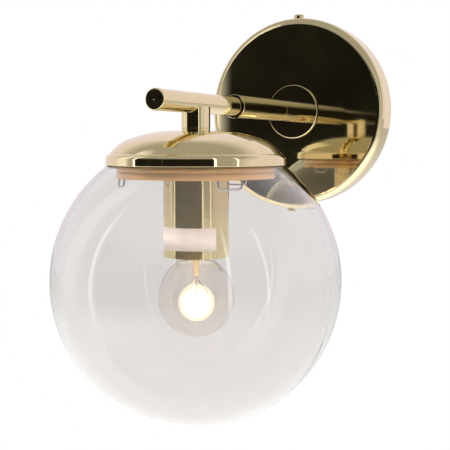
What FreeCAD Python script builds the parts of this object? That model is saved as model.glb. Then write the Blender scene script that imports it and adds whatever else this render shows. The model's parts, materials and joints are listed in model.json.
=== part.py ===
"""Globe wall sconce: polished brass wall cover, straight arm, shade cap, clear glass globe and clear bulb.

The wall is the plane y = 0, the front looks along -Y and +Z is up.  The origin is the centre of the
wall bracket, on the wall.  Lengths are in millimetres.
"""
import FreeCAD, Part
import math
import os
import re
import Sketcher

Vector = FreeCAD.Vector

# name, value, meaning
SIZES = (
    ("fit_gap", 0.05, "radial play of a piece in its own threaded or pressed seat"),
    ("hole_gap", 0.2, "radial play of a screw or nipple in a plain hole"),
    ("running_gap", 0.3, "space between a fixed piece and one that comes off"),
    ("nipple_radius", 5.0, "M10 x 1 threaded nipple, outside"),
    ("nipple_bore", 3.8, "wire way through a nipple, radius"),
    ("nut_flats", 14.0, "M10 x 1 nut across flats"),
    ("nut_height", 3.0, "M10 x 1 nut"),
    ("washer_radius", 8.6, "lock washer, outside"),
    ("washer_height", 1.0, "lock washer"),
    ("plate_radius", 71.5, "wall cover, outside"),
    ("plate_depth", 20.3, "wall cover, wall to face"),
    ("plate_wall", 1.0, "wall cover sheet"),
    ("plate_corner", 5.0, "wall cover, rounding between face and side"),
    ("bracket_width", 24.0, "steel strap on the wall"),
    ("bracket_sheet", 1.6, "steel strap thickness"),
    ("bracket_bend", 3.0, "outside radius of the strap's bends"),
    ("ear_gap", 0.5, "space between the strap's ear corners and the cover"),
    ("ear_depth", 15.0, "wall to the tip of the ear"),
    ("slot_spacing", 60.0, "wall screw slots, centre to centre"),
    ("slot_length", 14.0, "wall screw slot, end to end"),
    ("slot_width", 5.0, "wall screw slot"),
    ("cable_hole", 7.0, "cable hole in the strap, radius"),
    ("fixing_depth", 10.0, "wall to the axis of the two fixing screws"),
    ("fixing_radius", 1.95, "fixing screw shank"),
    ("fixing_reach", 4.0, "fixing screw inside the ear"),
    ("fixing_hole", 2.3, "hole for it in the cover"),
    ("knob_radius", 4.0, "fixing screw head"),
    ("knob_height", 3.0, "fixing screw head"),
    ("knob_slot", 1.0, "screwdriver slot in it"),
    ("block_centre", 50.0, "terminal block centre above the arm axis"),
    ("block_length", 30.0, "terminal block across"),
    ("block_height", 17.0, "terminal block up and down"),
    ("block_depth", 12.0, "terminal block wall to front"),
    ("way_pitch", 8.0, "terminal block, way to way"),
    ("way_radius", 1.6, "wire hole of a way"),
    ("way_depth", 6.6, "wall to the centre of the wire holes"),
    ("clamp_radius", 1.5, "clamp screw of the terminal block"),
    ("earth_drop", 50.0, "earth screw below the arm axis"),
    ("earth_radius", 2.0, "earth screw shank"),
    ("earth_head", 3.8, "earth screw head radius"),
    ("lug_sheet", 0.8, "earth lug sheet"),
    ("lug_radius", 4.2, "earth lug ring, outside"),
    ("wire_radius", 0.9, "insulated wire"),
    ("wire_pair", 1.3, "each arm wire beside the middle"),
    ("wire_bend", 3.6, "bend of the arm wires inside the tube and stem"),
    ("wire_entry", 3.0, "wire inside a clamp"),
    ("wire_sweep", 12.0, "bends of the arm wires inside the cover"),
    ("earth_bend", 20.0, "bends of the earth wire round the cable hole"),
    ("earth_side", 10.0, "earth wire beside its way, round the cable hole"),
    ("flange_radius", 20.4, "round flange at the root of the arm"),
    ("flange_height", 1.8, "flange thickness"),
    ("sleeve_radius", 7.9, "rear sleeve of the arm, outside"),
    ("sleeve_wall", 1.0, "rear sleeve wall"),
    ("sleeve_reach", 121.0, "wall to the front end of the rear sleeve"),
    ("tube_radius", 6.4, "arm tube, outside"),
    ("tube_reach", 217.8, "wall to the front end of the arm tube"),
    ("plug_length", 8.0, "shank of the arm's end plug inside the tube"),
    ("plug_head", 1.4, "straight part of the plug's head in front of the tube"),
    ("plug_edge", 0.8, "rounding round the plug's face"),
    ("plug_dome", 0.4, "crown of the plug's face"),
    ("stem_reach", 172.6, "wall to the axis of stem, cap and globe"),
    ("stem_radius", 8.87, "stem, outside"),
    ("stem_ears", 2.5, "tips of the stem's ears below the arm axis"),
    ("stem_drop", 17.0, "arm axis to the crown of the cap"),
    ("stem_thread", 9.0, "threaded depth in the foot of the stem"),
    ("stem_ring", 1.5, "height of the turned ring at the foot of the stem"),
    ("cap_radius", 55.4, "shade cap, outside"),
    ("cap_sheet", 0.8, "shade cap sheet"),
    ("cap_flat", 14.0, "radius of the flat on the crown"),
    ("shoulder_radius", 44.0, "where the crown's curve tightens"),
    ("shoulder_drop", 6.3, "crown to that line"),
    ("dome_inset", 2.4, "foot of the dome inside the band"),
    ("dome_drop", 14.1, "crown to the foot of the dome"),
    ("dome_bow", 27.0, "radius of the dome's outer curve"),
    ("band_corner", 2.6, "rounding between dome and band"),
    ("cap_height", 21.0, "crown to rim"),
    ("globe_radius", 90.0, "glass globe, outside"),
    ("glass_wall", 2.2, "glass globe wall"),
    ("mouth_radius", 49.6, "mouth of the globe, inside"),
    ("collar_rise", 5.0, "collar of the globe above its shoulder"),
    ("gallery_sheet", 0.8, "gallery pan sheet"),
    ("gallery_flat", 34.0, "radius of the pan's flat top"),
    ("gallery_radius", 48.3, "wall of the gallery pan, outside"),
    ("gallery_drop", 8.4, "pan wall below the rim of the cap"),
    ("bead_rise", 0.7, "each rolled bead stands out of the pan wall"),
    ("bead_pitch", 4.0, "rolled beads of the pan wall, one to the next"),
    ("window_width", 22.0, "spring windows in the pan wall"),
    ("window_foot", 0.3, "window's lower edge above the rim of the cap"),
    ("window_height", 7.4, "spring windows in the pan wall"),
    ("clip_wire", 0.6, "spring clip wire radius"),
    ("clip_half", 7.5, "half the width of a clip, leg to leg"),
    ("clip_turn", 54.0, "first clip, degrees from the front towards the right"),
    ("clip_drop", 13.5, "loop of the clip below the rim of the cap"),
    ("cup_radius", 20.4, "holder cup, outside"),
    ("cup_sheet", 0.8, "holder cup sheet"),
    ("cup_corner", 1.6, "rounding at the top of the cup"),
    ("cup_foot", 94.4, "arm axis to the open end of the cup"),
    ("holder_radius", 13.4, "lampholder, outside"),
    ("holder_neck", 7.6, "lampholder entry, outside"),
    ("holder_split", 24.0, "lampholder cap height"),
    ("holder_mouth", 2.5, "lampholder's mouth above the rim of the bulb's base"),
    ("holder_wall", 1.8, "lampholder cap wall"),
    ("holder_floor", 1.0, "contact floor above the bulb's contact"),
    ("shell_radius", 7.2, "screw shell of the lampholder, inside"),
    ("shell_sheet", 0.4, "screw shell sheet"),
    ("shell_length", 19.0, "screw shell"),
    ("base_radius", 6.9, "bulb base E14, outside"),
    ("base_length", 25.0, "bulb base with its contact"),
    ("clamp_side", 6.0, "stem axis to a wire clamp of the lampholder"),
    ("clamp_half", 2.4, "half width of a wire clamp"),
    ("clamp_height", 5.0, "wire clamp"),
    ("clamp_width", 4.5, "wire clamp, front to back"),
    ("bulb_radius", 24.0, "golf ball bulb, outside"),
    ("bulb_equator", 121.3, "arm axis to the widest part of the bulb"),
    ("bulb_shoulder", 28.4, "radius of the curve from the bulb's widest part to its collar"),
    ("bulb_collar", 12.5, "straight collar of the bulb above that curve, outside"),
    ("bulb_rise", 30.8, "bulb's widest part to the end of its neck"),
    ("bulb_wall", 0.6, "bulb glass"),
    ("neck_rise", 0.5, "bulb neck outside the radius of the base"),
    ("mount_foot", 107.0, "arm axis to the end of the glass mount in the bulb"),
    ("mount_radius", 2.2, "glass mount"),
    ("lead_radius", 0.3, "lead wires in the bulb"),
    ("coil_arc", 8.0, "radius of the arc the filament follows"),
    ("coil_radius", 0.8, "filament coil, middle of the wire"),
    ("coil_wire", 0.2, "filament wire radius"),
    ("coil_turns", 20.0, "curls of the filament"),
)

NAMES = [entry[0] for entry in SIZES]
WORD = re.compile(r"[a-z][a-z_0-9]*")

# levels below the arm axis, as expressions of the sizes
CROWN = "(0 - stem_drop)"
RIM = "(0 - stem_drop - cap_height)"
NUT_TOP = "(0 - stem_drop - cap_sheet - washer_height)"
PAN_TOP = "(0 - stem_drop - cap_sheet - washer_height - nut_height)"
CUP_TOP = f"({PAN_TOP} - gallery_sheet)"
LOCK_TOP = f"({CUP_TOP} - cup_sheet)"
HOLDER_TOP = f"({LOCK_TOP} - nut_height)"
HOLDER_SPLIT = f"({HOLDER_TOP} - holder_split)"
# the bulb hangs by its neck, whose rim sets the base and with it the lampholder
NECK = "(base_radius + neck_rise)"
NECK_LEVEL = "(bulb_rise - bulb_equator)"
BASE_FOOT = f"({NECK_LEVEL} + neck_rise)"
CONTACT = f"({BASE_FOOT} + base_length)"
FLOOR = f"({CONTACT} + holder_floor)"
PAN_FOOT = f"({RIM} - gallery_drop)"
# the globe's centre keeps the running gap under the cap's rim
RIM_REACH = "(cap_radius - cap_sheet / 2)"
GLOBE = (f"({RIM} + cap_sheet / 2 - sqrt((globe_radius + running_gap + cap_sheet / 2) ^ 2"
         f" - {RIM_REACH} ^ 2))")
COLLAR = "(mouth_radius + glass_wall)"
COLLAR_FOOT = f"({GLOBE} + sqrt(globe_radius ^ 2 - {COLLAR} ^ 2))"
COLLAR_TOP = f"({COLLAR_FOOT} + collar_rise)"
# distances from the wall along the arm
FACE_BACK = "(plate_depth - plate_wall)"
FLANGE_FACE = "(plate_depth + flange_height)"
NUT_BACK = f"({FACE_BACK} - washer_height - nut_height)"
EAR = "(sqrt((plate_radius - plate_wall) ^ 2 - (bracket_width / 2) ^ 2) - ear_gap)"
# seats in the threaded tubes
BORE = "(nipple_radius + fit_gap)"
PASSAGE = "(nipple_radius + hole_gap)"

doc = FreeCAD.newDocument("GlobeWallSconce")
sheet = doc.addObject("Spreadsheet::Sheet", "Sizes")


def fill_sheet():
    """One row for each size: its meaning, its value and its alias."""
    for row, (name, value, meaning) in enumerate(SIZES, 1):
        sheet.set(f"A{row}", meaning)
        sheet.set(f"B{row}", str(value))
        sheet.setAlias(f"B{row}", name)
    doc.recompute()


def sized(text):
    """The expression with each size written as the sheet's own property."""
    return WORD.sub(lambda word: "Sizes." + word[0] if word[0] in NAMES else word[0], str(text))


def value(text):
    """The number that an expression of the sizes gives now."""
    return float(sheet.evalExpression(str(text)))


def bind(thing, prop, text):
    """Tie a property to an expression of the sizes."""
    thing.setExpression(prop, sized(text))


# frames: along the arm, local +Z runs from the wall to the front; upright, it is the world's
ALONG_ARM = FreeCAD.Rotation(Vector(1, 0, 0), 90)
UPRIGHT = FreeCAD.Rotation()
UPSIDE_DOWN = FreeCAD.Rotation(Vector(1, 0, 0), 180)


def new_body(name, turn=UPRIGHT, reach="0"):
    """An empty body, turned, and set the given distance in front of the wall."""
    body = doc.addObject("PartDesign::Body", name)
    body.Label = name
    body.Placement = FreeCAD.Placement(Vector(0, -value(reach), 0), turn)
    if reach != "0":
        bind(body, "Placement.Base.y", f"0 - {reach}")
    return body


def new_sketch(body, name, role):
    """A sketch on one of the body's own planes."""
    sketch = body.newObject("Sketcher::SketchObject", f"{body.Name}_{name}")
    plane = next(item for item in body.Origin.OriginFeatures if item.Role == role)
    sketch.AttachmentSupport = [(plane, "")]
    sketch.MapMode = "FlatFace"
    return sketch


def raise_sketch(sketch, text):
    """Set a sketch off its plane by an expression."""
    sketch.AttachmentOffset = FreeCAD.Placement(Vector(0, 0, value(text)), FreeCAD.Rotation())
    bind(sketch, "AttachmentOffset.Base.z", text)
    return sketch


def pin_point(sketch, edge, end, place):
    """Hold a point of an edge at a pair of expressions."""
    for kind, text in zip(("DistanceX", "DistanceY"), place):
        index = sketch.addConstraint(Sketcher.Constraint(kind, -1, 1, edge, end, value(text)))
        bind(sketch, f"Constraints[{index}]", text)


def arc_between(start, end, radius):
    """The circle arc of under a half turn from start to end; a negative radius bows to the right."""
    chord = end - start
    side = Vector(-chord.y, chord.x, 0).normalize()
    rise = math.sqrt(radius ** 2 - (chord.Length / 2) ** 2)
    centre = (start + end) / 2 + side * math.copysign(rise, radius)
    first, last = (start, end) if radius > 0 else (end, start)
    angles = [math.atan2(point.y - centre.y, point.x - centre.x) for point in (first, last)]
    return Part.ArcOfCircle(Part.Circle(centre, Vector(0, 0, 1), abs(radius)), *angles)


def outline(sketch, corners, bows=None):
    """A closed outline through corners; bows gives the signed radius of the edge after a corner."""
    bows = bows or {}
    places = [Vector(value(across), value(up), 0) for across, up in corners]
    count = len(places)
    ends = []
    for index, place in enumerate(places):
        following = places[(index + 1) % count]
        if index in bows:
            radius = value(bows[index])
            edge = sketch.addGeometry(arc_between(place, following, radius), False)
            rule = sketch.addConstraint(Sketcher.Constraint("Radius", edge, abs(radius)))
            bind(sketch, f"Constraints[{rule}]", f"abs({bows[index]})")
            ends.append((edge, 1, 2) if radius > 0 else (edge, 2, 1))
        else:
            edge = sketch.addGeometry(Part.LineSegment(place, following), False)
            ends.append((edge, 1, 2))
    for index, (edge, first, last) in enumerate(ends):
        next_edge, next_first, _ = ends[(index + 1) % count]
        sketch.addConstraint(Sketcher.Constraint("Coincident", edge, last, next_edge, next_first))
        pin_point(sketch, edge, first, corners[index])
    return sketch


def ring(sketch, place, radius):
    """A circle of a bound radius about a bound centre."""
    centre = Vector(value(place[0]), value(place[1]), 0)
    edge = sketch.addGeometry(Part.Circle(centre, Vector(0, 0, 1), value(radius)), False)
    rule = sketch.addConstraint(Sketcher.Constraint("Radius", edge, value(radius)))
    bind(sketch, f"Constraints[{rule}]", radius)
    pin_point(sketch, edge, 3, place)
    return sketch


def slot(sketch, along, half_width, half_run):
    """A round-ended slot along the sketch's second axis, centred at a height."""
    low, high = f"{along} - {half_run}", f"{along} + {half_run}"
    corners = (
        (half_width, low), (half_width, high), ("0", f"{high} + {half_width}"),
        (f"0 - {half_width}", high), (f"0 - {half_width}", low), ("0", f"{low} - {half_width}"),
    )
    return outline(sketch, corners, {1: half_width, 2: half_width, 4: half_width, 5: half_width})


def turned(body, corners, bows=None):
    """A full turn of an outline of radius and height about the body's own Z axis."""
    sketch = outline(new_sketch(body, "profile", "XZ_Plane"), corners, bows)
    feature = body.newObject("PartDesign::Revolution", f"{body.Name}_turned")
    feature.Profile = sketch
    feature.ReferenceAxis = (sketch, ["V_Axis"])
    feature.Angle = 360
    sketch.Visibility = False
    return feature


def pad(body, sketch, length, both_ways=False, backwards=False):
    """A prism of a sketch with a bound length."""
    feature = body.newObject("PartDesign::Pad", f"{sketch.Name}_pad")
    feature.Profile = sketch
    feature.SideType = "Symmetric" if both_ways else "One side"
    feature.Reversed = backwards
    bind(feature, "Length", length)
    sketch.Visibility = False
    return feature


def cut(body, sketch, length=None, backwards=False):
    """A pocket of a sketch: right through both ways, or a bound length one way; it must cut."""
    doc.recompute()
    before = body.Shape.Volume
    feature = body.newObject("PartDesign::Pocket", f"{sketch.Name}_cut")
    feature.Profile = sketch
    sketch.Visibility = False
    if length is None:
        feature.Type = "ThroughAll"
        feature.SideType = "Symmetric"
    else:
        feature.Reversed = backwards
        bind(feature, "Length", length)
    doc.recompute()
    if not body.Shape.Volume < before:
        raise RuntimeError(f"{feature.Name} removes nothing")
    return feature


def repeat_round(body, feature, count):
    """Copies of a feature at equal turns about the body's own Z axis."""
    pattern = body.newObject("PartDesign::PolarPattern", f"{feature.Name}_round")
    pattern.Originals = [feature]
    axis = next(item for item in body.Origin.OriginFeatures if item.Role == "Z_Axis")
    pattern.Axis = (axis, [""])
    pattern.Angle = 360
    pattern.Occurrences = count
    body.Tip = pattern
    doc.recompute()
    return pattern


def tube_profile(outer, inner, low, high):
    """Corners of a plain ring."""
    return (inner, low), (outer, low), (outer, high), (inner, high)


# ---------------------------------------------------------------- wall side


def backplate_cover():
    """Round dish with a rounded front edge, a hole for the arm nipple and two for fixing screws."""
    body = new_body("backplate_cover", ALONG_ARM)
    inside = "(plate_radius - plate_wall)"
    bend = "(plate_radius - plate_corner)"
    corners = (
        (inside, "0"), ("plate_radius", "0"), ("plate_radius", "plate_depth - plate_corner"),
        (bend, "plate_depth"), (PASSAGE, "plate_depth"), (PASSAGE, FACE_BACK),
        (bend, FACE_BACK), (inside, "plate_depth - plate_corner"),
    )
    turned(body, corners, {2: "plate_corner", 6: "0 - (plate_corner - plate_wall)"})
    cut(body, ring(new_sketch(body, "screw_holes", "XZ_Plane"), ("0", "fixing_depth"), "fixing_hole"))
    return body


def wall_bracket():
    """Steel strap with bent ears, wall slots, cable hole and tapped holes."""
    body = new_body("wall_bracket", ALONG_ARM)
    sheet_in, bend_in = "bracket_sheet", "(bracket_bend - bracket_sheet)"
    side = []
    for sign in ("0 -", "0 +"):
        side.append([
            (f"{sign} {EAR}", "ear_depth"), (f"{sign} {EAR}", "bracket_bend"),
            (f"{sign} ({EAR} - bracket_bend)", "0"), (f"{sign} ({EAR} - bracket_bend)", sheet_in),
            (f"{sign} ({EAR} - {sheet_in})", "bracket_bend"), (f"{sign} ({EAR} - {sheet_in})", "ear_depth"),
        ])
    left, right = side
    corners = left[:3] + right[:3][::-1] + right[3:][::-1] + left[3:]
    bows = {1: "bracket_bend", 3: "bracket_bend", 7: f"0 - {bend_in}", 9: f"0 - {bend_in}"}
    pad(body, outline(new_sketch(body, "strap", "YZ_Plane"), corners, bows), "bracket_width", True)
    openings = new_sketch(body, "openings", "XY_Plane")
    ring(openings, ("0", "0"), "cable_hole")
    for sign in ("0 -", "0 +"):
        slot(openings, f"{sign} slot_spacing / 2", "slot_width / 2", "(slot_length - slot_width) / 2")
    ring(openings, ("0", "0 - earth_drop"), "earth_radius + fit_gap")
    ring(openings, ("0", "block_centre"), "clamp_radius + fit_gap")
    cut(body, openings)
    tapped = ring(new_sketch(body, "tapped", "XZ_Plane"), ("0", "fixing_depth"), "fixing_radius + fit_gap")
    cut(body, tapped)
    return body


def fixing_screw(name, turn):
    """Headed screw through the cover's side into an ear, with a slot across its domed head."""
    body = new_body(name, turn, "fixing_depth")
    seat = "(plate_radius + running_gap)"
    tip = f"({EAR} - fixing_reach)"
    top = f"({seat} + knob_height)"
    corners = (
        ("0", tip), ("fixing_radius - 0.4", tip), ("fixing_radius", f"{tip} + 0.4"),
        ("fixing_radius", seat), ("knob_radius", seat), ("knob_radius", f"{top} - knob_height / 3"),
        ("knob_radius * 0.75", top), ("0", top),
    )
    turned(body, corners, {5: "knob_height / 2.6"})
    groove = new_sketch(body, "slot", "YZ_Plane")
    across = "knob_slot / 2"
    box = ((f"0 - {across}", f"{top} - knob_slot"), (across, f"{top} - knob_slot"),
           (across, f"{top} + 1"), (f"0 - {across}", f"{top} + 1"))
    cut(body, outline(groove, box))
    return body


def clamp_places():
    """Places of the six clamp screws, two to a way."""
    return [(f"{way} * way_pitch", f"block_centre + {row} * block_height / 3.4")
            for way in (-1, 0, 1) for row in (-1, 1)]


def terminal_block():
    """Moulded three-way block with wire holes, screw shafts and a stepped top."""
    body = new_body("terminal_block", ALONG_ARM)
    low, high = "(block_centre - block_height / 2)", "(block_centre + block_height / 2)"
    step = "(block_depth - 3)"
    corners = ((low, "bracket_sheet"), (high, "bracket_sheet"), (high, step), (f"{high} - 2.5", step),
               (f"{high} - 2.5", "block_depth"), (f"{low} + 2.5", "block_depth"), (f"{low} + 2.5", step),
               (low, step))
    pad(body, outline(new_sketch(body, "section", "YZ_Plane"), corners), "block_length", True)
    ways = new_sketch(body, "ways", "XZ_Plane")
    shafts = raise_sketch(new_sketch(body, "shafts", "XY_Plane"), "way_depth")
    for way in (-1, 0, 1):
        ring(ways, (f"{way} * way_pitch", "way_depth"), "way_radius")
    for place in clamp_places():
        ring(shafts, place, "clamp_radius + hole_gap")
    ring(shafts, ("0", "block_centre"), "clamp_radius + hole_gap")
    cut(body, ways)
    cut(body, shafts, "block_depth", True)
    fixing = raise_sketch(new_sketch(body, "fixing", "XY_Plane"), "bracket_sheet")
    cut(body, ring(fixing, ("0", "block_centre"), "clamp_radius + fit_gap"), "block_depth", True)
    return body


def terminal_screws():
    """Six clamp screws and the block's own fixing screw into the strap, one solid each."""
    body = new_body("terminal_screws", ALONG_ARM)
    body.AllowCompound = True
    heads = raise_sketch(new_sketch(body, "heads", "XY_Plane"), "way_depth + wire_radius + fit_gap")
    for place in clamp_places():
        ring(heads, place, "clamp_radius")
    pad(body, heads, "block_depth - way_depth - wire_radius - 0.6")
    fixing = new_sketch(body, "fixing", "XY_Plane")
    pad(body, ring(fixing, ("0", "block_centre"), "clamp_radius"), "way_depth - way_radius - 0.6")
    return body


def earth_lug():
    """Ring lug on the strap under the earth screw, with a crimped barrel for the wire."""
    body = new_body("earth_lug", ALONG_ARM)
    flat = raise_sketch(new_sketch(body, "flat", "XY_Plane"), "bracket_sheet")
    ring(flat, ("0", "0 - earth_drop"), "lug_radius")
    ring(flat, ("0", "0 - earth_drop"), "earth_radius + hole_gap")
    pad(body, flat, "lug_sheet")
    barrel = raise_sketch(new_sketch(body, "barrel", "YZ_Plane"), "lug_radius - 0.4")
    middle = "(bracket_sheet + wire_radius + lug_sheet)"
    ring(barrel, ("0 - earth_drop", middle), "wire_radius + lug_sheet")
    ring(barrel, ("0 - earth_drop", middle), "wire_radius + fit_gap")
    pad(body, barrel, "lug_radius + 1.4")
    return body


def earth_screw():
    """Pan-head earth screw, flush with the back of the strap."""
    body = new_body("earth_screw", ALONG_ARM)
    seat = "(bracket_sheet + lug_sheet)"
    shank = new_sketch(body, "shank", "XY_Plane")
    ring(shank, ("0", "0 - earth_drop"), "earth_radius")
    pad(body, shank, f"{seat} + 1")
    head = raise_sketch(new_sketch(body, "head", "XY_Plane"), seat)
    ring(head, ("0", "0 - earth_drop"), "earth_head - 0.2")
    pad(body, head, "earth_head * 0.65")
    drive = raise_sketch(new_sketch(body, "drive", "XY_Plane"), f"{seat} + earth_head * 0.35")
    box = (("0 - knob_slot / 2", "0 - earth_drop - earth_head"), ("knob_slot / 2", "0 - earth_drop - earth_head"),
           ("knob_slot / 2", "earth_head - earth_drop"), ("0 - knob_slot / 2", "earth_head - earth_drop"))
    cut(body, outline(drive, box), "earth_head", True)
    return body


# ---------------------------------------------------------------- arm


def arm_flange():
    """Flat round flange with a fine chamfer, at the root of the arm."""
    body = new_body("arm_flange", ALONG_ARM)
    corners = ((PASSAGE, "plate_depth"), ("flange_radius", "plate_depth"),
               ("flange_radius", f"{FLANGE_FACE} - 0.4"), ("flange_radius - 0.4", FLANGE_FACE),
               (PASSAGE, FLANGE_FACE))
    turned(body, corners)
    return body


def arm_sleeve():
    """Larger rear tube of the arm; the arm tube passes through it."""
    body = new_body("arm_sleeve", ALONG_ARM)
    bore = "(sleeve_radius - sleeve_wall)"
    corners = ((bore, FLANGE_FACE), ("sleeve_radius", FLANGE_FACE),
               ("sleeve_radius", "sleeve_reach - 0.25"), ("sleeve_radius - 0.25", "sleeve_reach"),
               (bore, "sleeve_reach"))
    turned(body, corners)
    return body


def arm_tube():
    """Arm tube threaded inside, with a wire hole down into the stem."""
    body = new_body("arm_tube", ALONG_ARM)
    turned(body, tube_profile("tube_radius", BORE, FLANGE_FACE, "tube_reach"))
    hole = ring(new_sketch(body, "wire_hole", "XZ_Plane"), ("0", "stem_reach"), "nipple_bore")
    cut(body, hole, "tube_radius + 1", True)
    return body


def arm_end_plug():
    """Turned plug pressed into the front of the arm tube: shank, rounded head and nearly flat face."""
    body = new_body("arm_end_plug", ALONG_ARM)
    shank_end, face = "(tube_reach - plug_length)", "(tube_radius - plug_edge)"
    rim = "(tube_reach + plug_head)"
    bow = f"(({face} ^ 2 + plug_dome ^ 2) / (2 * plug_dome))"
    corners = (
        ("0", shank_end), ("nipple_radius", shank_end), ("nipple_radius", "tube_reach"),
        ("tube_radius - 0.15", "tube_reach"), ("tube_radius", "tube_reach + 0.15"), ("tube_radius", rim),
        (face, f"{rim} + plug_edge"), ("0", f"{rim} + plug_edge + plug_dome"),
    )
    turned(body, corners, {5: "plug_edge", 6: bow})
    return body


def arm_nipple():
    """Threaded nipple that joins the arm tube to the wall cover."""
    body = new_body("arm_nipple", ALONG_ARM)
    turned(body, tube_profile("nipple_radius", "nipple_bore", f"{NUT_BACK} - 2", f"{FLANGE_FACE} + 14"))
    return body


def lock_washer(name, turn, reach, low):
    """Toothed lock washer: a ring with notches round its edge."""
    body = new_body(name, turn, reach)
    turned(body, tube_profile("washer_radius", PASSAGE, low, f"{low} + washer_height"))
    notch = new_sketch(body, "notch", "XY_Plane")
    ring(notch, ("washer_radius + 0.4", "0"), "1.3")
    feature = cut(body, notch)
    repeat_round(body, feature, 10)
    return body


def lock_nut(name, turn, reach, low):
    """M10 x 1 hexagon nut with its corners turned off."""
    body = new_body(name, turn, reach)
    corner = "(nut_flats / sqrt(3))"
    corners = (
        (BORE, low), (f"{corner} - 0.5", low), (corner, f"{low} + 0.4"),
        (corner, f"{low} + nut_height - 0.4"), (f"{corner} - 0.5", f"{low} + nut_height"),
        (BORE, f"{low} + nut_height"),
    )
    turned(body, corners)
    flat = new_sketch(body, "flat", "XY_Plane")
    box = (("nut_flats / 2", "0 - nut_flats"), ("nut_flats", "0 - nut_flats"),
           ("nut_flats", "nut_flats"), ("nut_flats / 2", "nut_flats"))
    feature = cut(body, outline(flat, box))
    repeat_round(body, feature, 6)
    return body


def stem_saddle():
    """Stem with a fish-mouth seat for the arm tube, a wire way and a threaded foot."""
    body = new_body("stem_saddle", UPRIGHT, "stem_reach")
    ring_top = f"({CROWN} + stem_ring)"
    thread_top = f"({CROWN} + stem_thread)"
    corners = (
        (BORE, CROWN), ("stem_radius - 0.3", CROWN), ("stem_radius", f"{CROWN} + 0.3"),
        ("stem_radius", f"{ring_top} - 0.25"), ("stem_radius - 0.3", ring_top),
        ("stem_radius", f"{ring_top} + 0.25"), ("stem_radius", "0 - stem_ears"),
        ("nipple_bore", "0 - stem_ears"), ("nipple_bore", thread_top), (BORE, thread_top),
    )
    turned(body, corners)
    cut(body, ring(new_sketch(body, "saddle", "XZ_Plane"), ("0", "0"), "tube_radius + fit_gap"))
    return body


def stem_nipple():
    """Threaded nipple from the stem through cap, gallery pan and cup into the lampholder."""
    body = new_body("stem_nipple", UPRIGHT, "stem_reach")
    turned(body, tube_profile("nipple_radius", "nipple_bore", f"{HOLDER_TOP} - 6",
                              f"{CROWN} + stem_thread - 1"))
    return body


# ---------------------------------------------------------------- shade


def crown_bow():
    """Radius of the crown's curve, level at the flat and through the shoulder."""
    reach = "(shoulder_radius - cap_flat)"
    return f"(({reach} ^ 2 + shoulder_drop ^ 2) / (2 * shoulder_drop))"


def shade_cap():
    """Spun cap: flat crown, two blended curves, a tight corner and an upright band."""
    body = new_body("shade_cap", UPRIGHT, "stem_reach")
    foot, inside = "(cap_radius - dome_inset)", "(cap_radius - cap_sheet)"
    foot_level = f"({CROWN} - dome_drop)"
    band_top = f"({foot_level} - band_corner)"
    corners = (
        (PASSAGE, f"{CROWN} - cap_sheet"), ("cap_flat", f"{CROWN} - cap_sheet"),
        ("shoulder_radius - cap_sheet * 0.4", f"{CROWN} - shoulder_drop - cap_sheet * 0.92"),
        (f"{foot} - cap_sheet * 0.8", f"{foot_level} - cap_sheet * 0.65"),
        (inside, f"{band_top} - cap_sheet * 0.5"),
        (inside, f"{RIM} + cap_sheet / 2"), (RIM_REACH, RIM), ("cap_radius", f"{RIM} + cap_sheet / 2"),
        ("cap_radius", band_top), (foot, foot_level),
        ("shoulder_radius", f"{CROWN} - shoulder_drop"), ("cap_flat", CROWN), (PASSAGE, CROWN),
    )
    bows = {
        1: f"0 - ({crown_bow()} - cap_sheet)", 2: "0 - (dome_bow - cap_sheet)", 5: "cap_sheet / 2",
        6: "cap_sheet / 2", 8: "band_corner * 1.2", 9: "dome_bow", 10: crown_bow(),
    }
    turned(body, corners, bows)
    return body


def gallery_pan():
    """Pressed pan under the cap: flat top, rounded shoulder, wall with rolled beads and windows."""
    body = new_body("gallery_pan", UPRIGHT, "stem_reach")
    inner = "(gallery_radius - gallery_sheet)"
    bend = "(gallery_radius - gallery_flat)"
    top, under = PAN_TOP, CUP_TOP
    outside, inside = [], []
    bows = {}
    for bead in (0, 1):
        low = f"({PAN_FOOT} + {bead} * bead_pitch)"
        outside += [("gallery_radius", low)]
        bows[bead] = "(bead_pitch ^ 2 / 4 + bead_rise ^ 2) / (2 * bead_rise)"
    crest = f"({PAN_FOOT} + 2 * bead_pitch)"
    outside += [("gallery_radius", crest), ("gallery_radius", f"{top} - {bend}"), ("gallery_flat", top)]
    bows[3] = bend
    inside += [(PASSAGE, top), (PASSAGE, under), ("gallery_flat", under), (inner, f"{top} - {bend}"),
               (inner, PAN_FOOT)]
    corners = outside + inside
    bows[7] = f"0 - ({bend} - gallery_sheet)"
    turned(body, corners, bows)
    window = new_sketch(body, "window", "YZ_Plane")
    low = f"({RIM} + window_foot)"
    half = "window_width / 2"
    box = ((f"0 - {half}", low), (half, low), (half, f"{low} + window_height"),
           (f"0 - {half}", f"{low} + window_height"))
    feature = cut(body, outline(window, box), "gallery_radius + 1", True)
    repeat_round(body, feature, 3)
    body.Placement.Rotation = FreeCAD.Rotation(Vector(0, 0, 1), value("clip_turn") - 90)
    bind(body, "Placement.Rotation.Angle", "clip_turn - 90")
    return body


def holder_cup():
    """Drawn brass cup over the lampholder, open below."""
    body = new_body("holder_cup", UPRIGHT, "stem_reach")
    inside = "(cup_radius - cup_sheet)"
    foot = "(0 - cup_foot)"
    corners = (
        (PASSAGE, LOCK_TOP), ("cup_radius - cup_corner", LOCK_TOP), (inside, f"{CUP_TOP} - cup_corner"),
        (inside, foot), ("cup_radius", foot), ("cup_radius", f"{CUP_TOP} - cup_corner"),
        ("cup_radius - cup_corner", CUP_TOP), (PASSAGE, CUP_TOP),
    )
    turned(body, corners, {1: "0 - (cup_corner - cup_sheet)", 5: "cup_corner"})
    return body


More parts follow.
